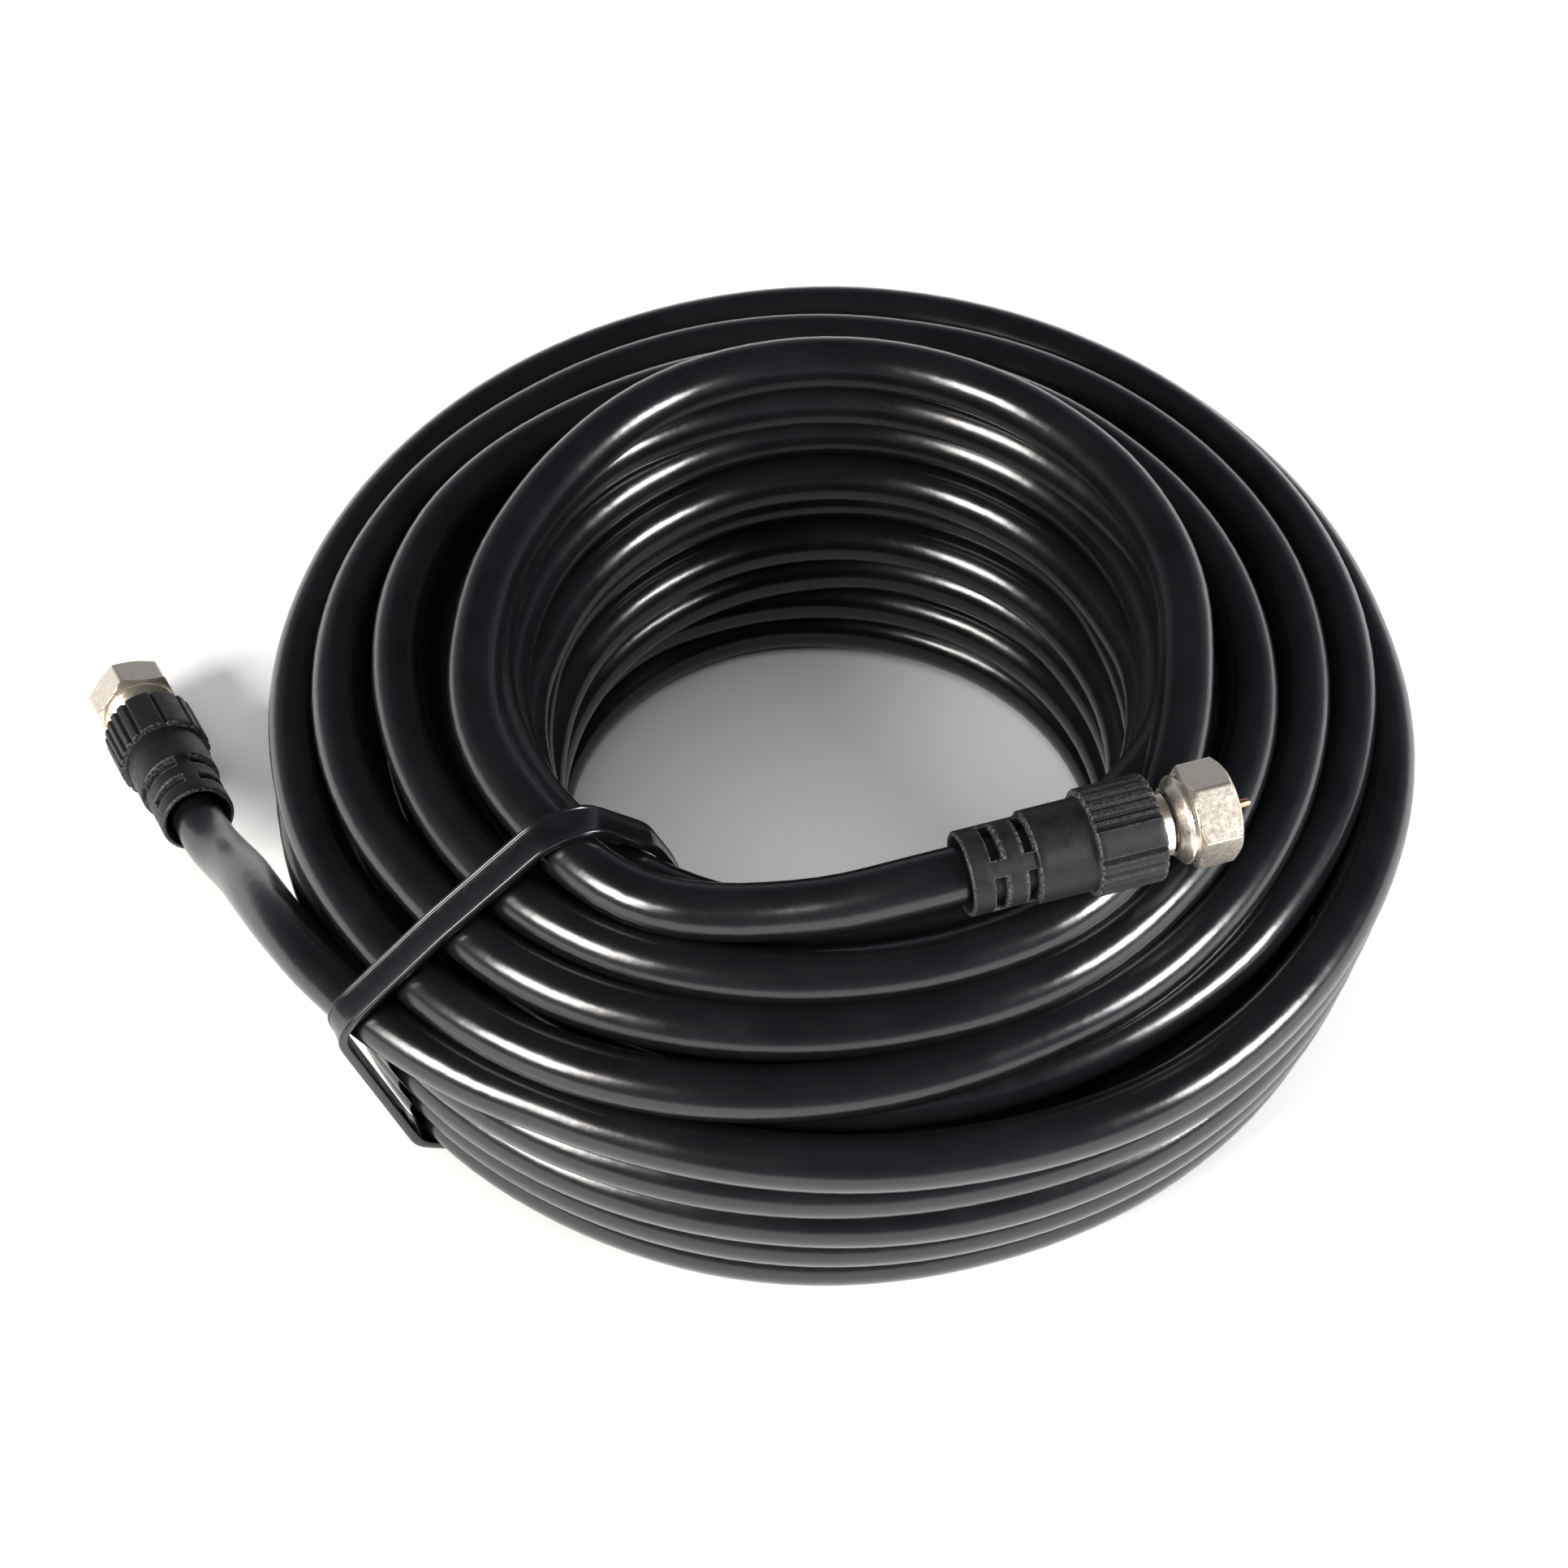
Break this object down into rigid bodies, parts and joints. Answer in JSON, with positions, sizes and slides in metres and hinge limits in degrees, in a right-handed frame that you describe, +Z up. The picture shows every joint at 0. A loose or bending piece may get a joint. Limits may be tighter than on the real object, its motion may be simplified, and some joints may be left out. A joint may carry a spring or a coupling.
{
  "type": "coaxial cable coil",
  "caption": "Round coil of black coaxial cable held by a cable tie, with a moulded screw-on connector with a swivelling nut on each end.",
  "frame": {"origin": "middle of the bottom of the whole object's box, on the floor; the coil's axis stands about 16 mm to its +X side", "axes": "+Z up along the coil's axis; -Y is the side where the cable's end crosses over the coil; the tail's connector lies at -X"},
  "size_m": [0.1826, 0.1506, 0.0677],
  "materials": {
    "jacket": "glossy black PVC",
    "boot": "satin moulded black PVC",
    "nickel": "polished nickel plating",
    "copper": "bare copper wire",
    "insulator": "white plastic",
    "tie": "glossy black nylon"
  },
  "bodies": {
    "coil": {"cable_coil": "jacket", "cable_top_turn": "jacket", "cable_tail": "jacket", "cable_tie": "tie", "top_boot": "boot", "top_shank": "nickel", "top_insulator": "insulator", "top_centre_wire": "copper", "side_boot": "boot", "side_shank": "nickel", "side_insulator": "insulator", "side_centre_wire": "copper"},
    "top_nut": {"top_coupling_nut": "nickel"},
    "side_nut": {"side_coupling_nut": "nickel"}
  },
  "joints": [
    {"name": "top_nut_spin", "type": "hinge", "parent": "coil", "child": "top_nut", "pos_m": [0.05693, -0.03755, 0.06125], "axis": [0.9563, 0.2924, 0], "continuous": true},
    {"name": "side_nut_spin", "type": "hinge", "parent": "coil", "child": "side_nut", "pos_m": [-0.08408, 0.02157, 0.00713], "axis": [-0.4405, 0.8645, -0.2419], "continuous": true}
  ]
}
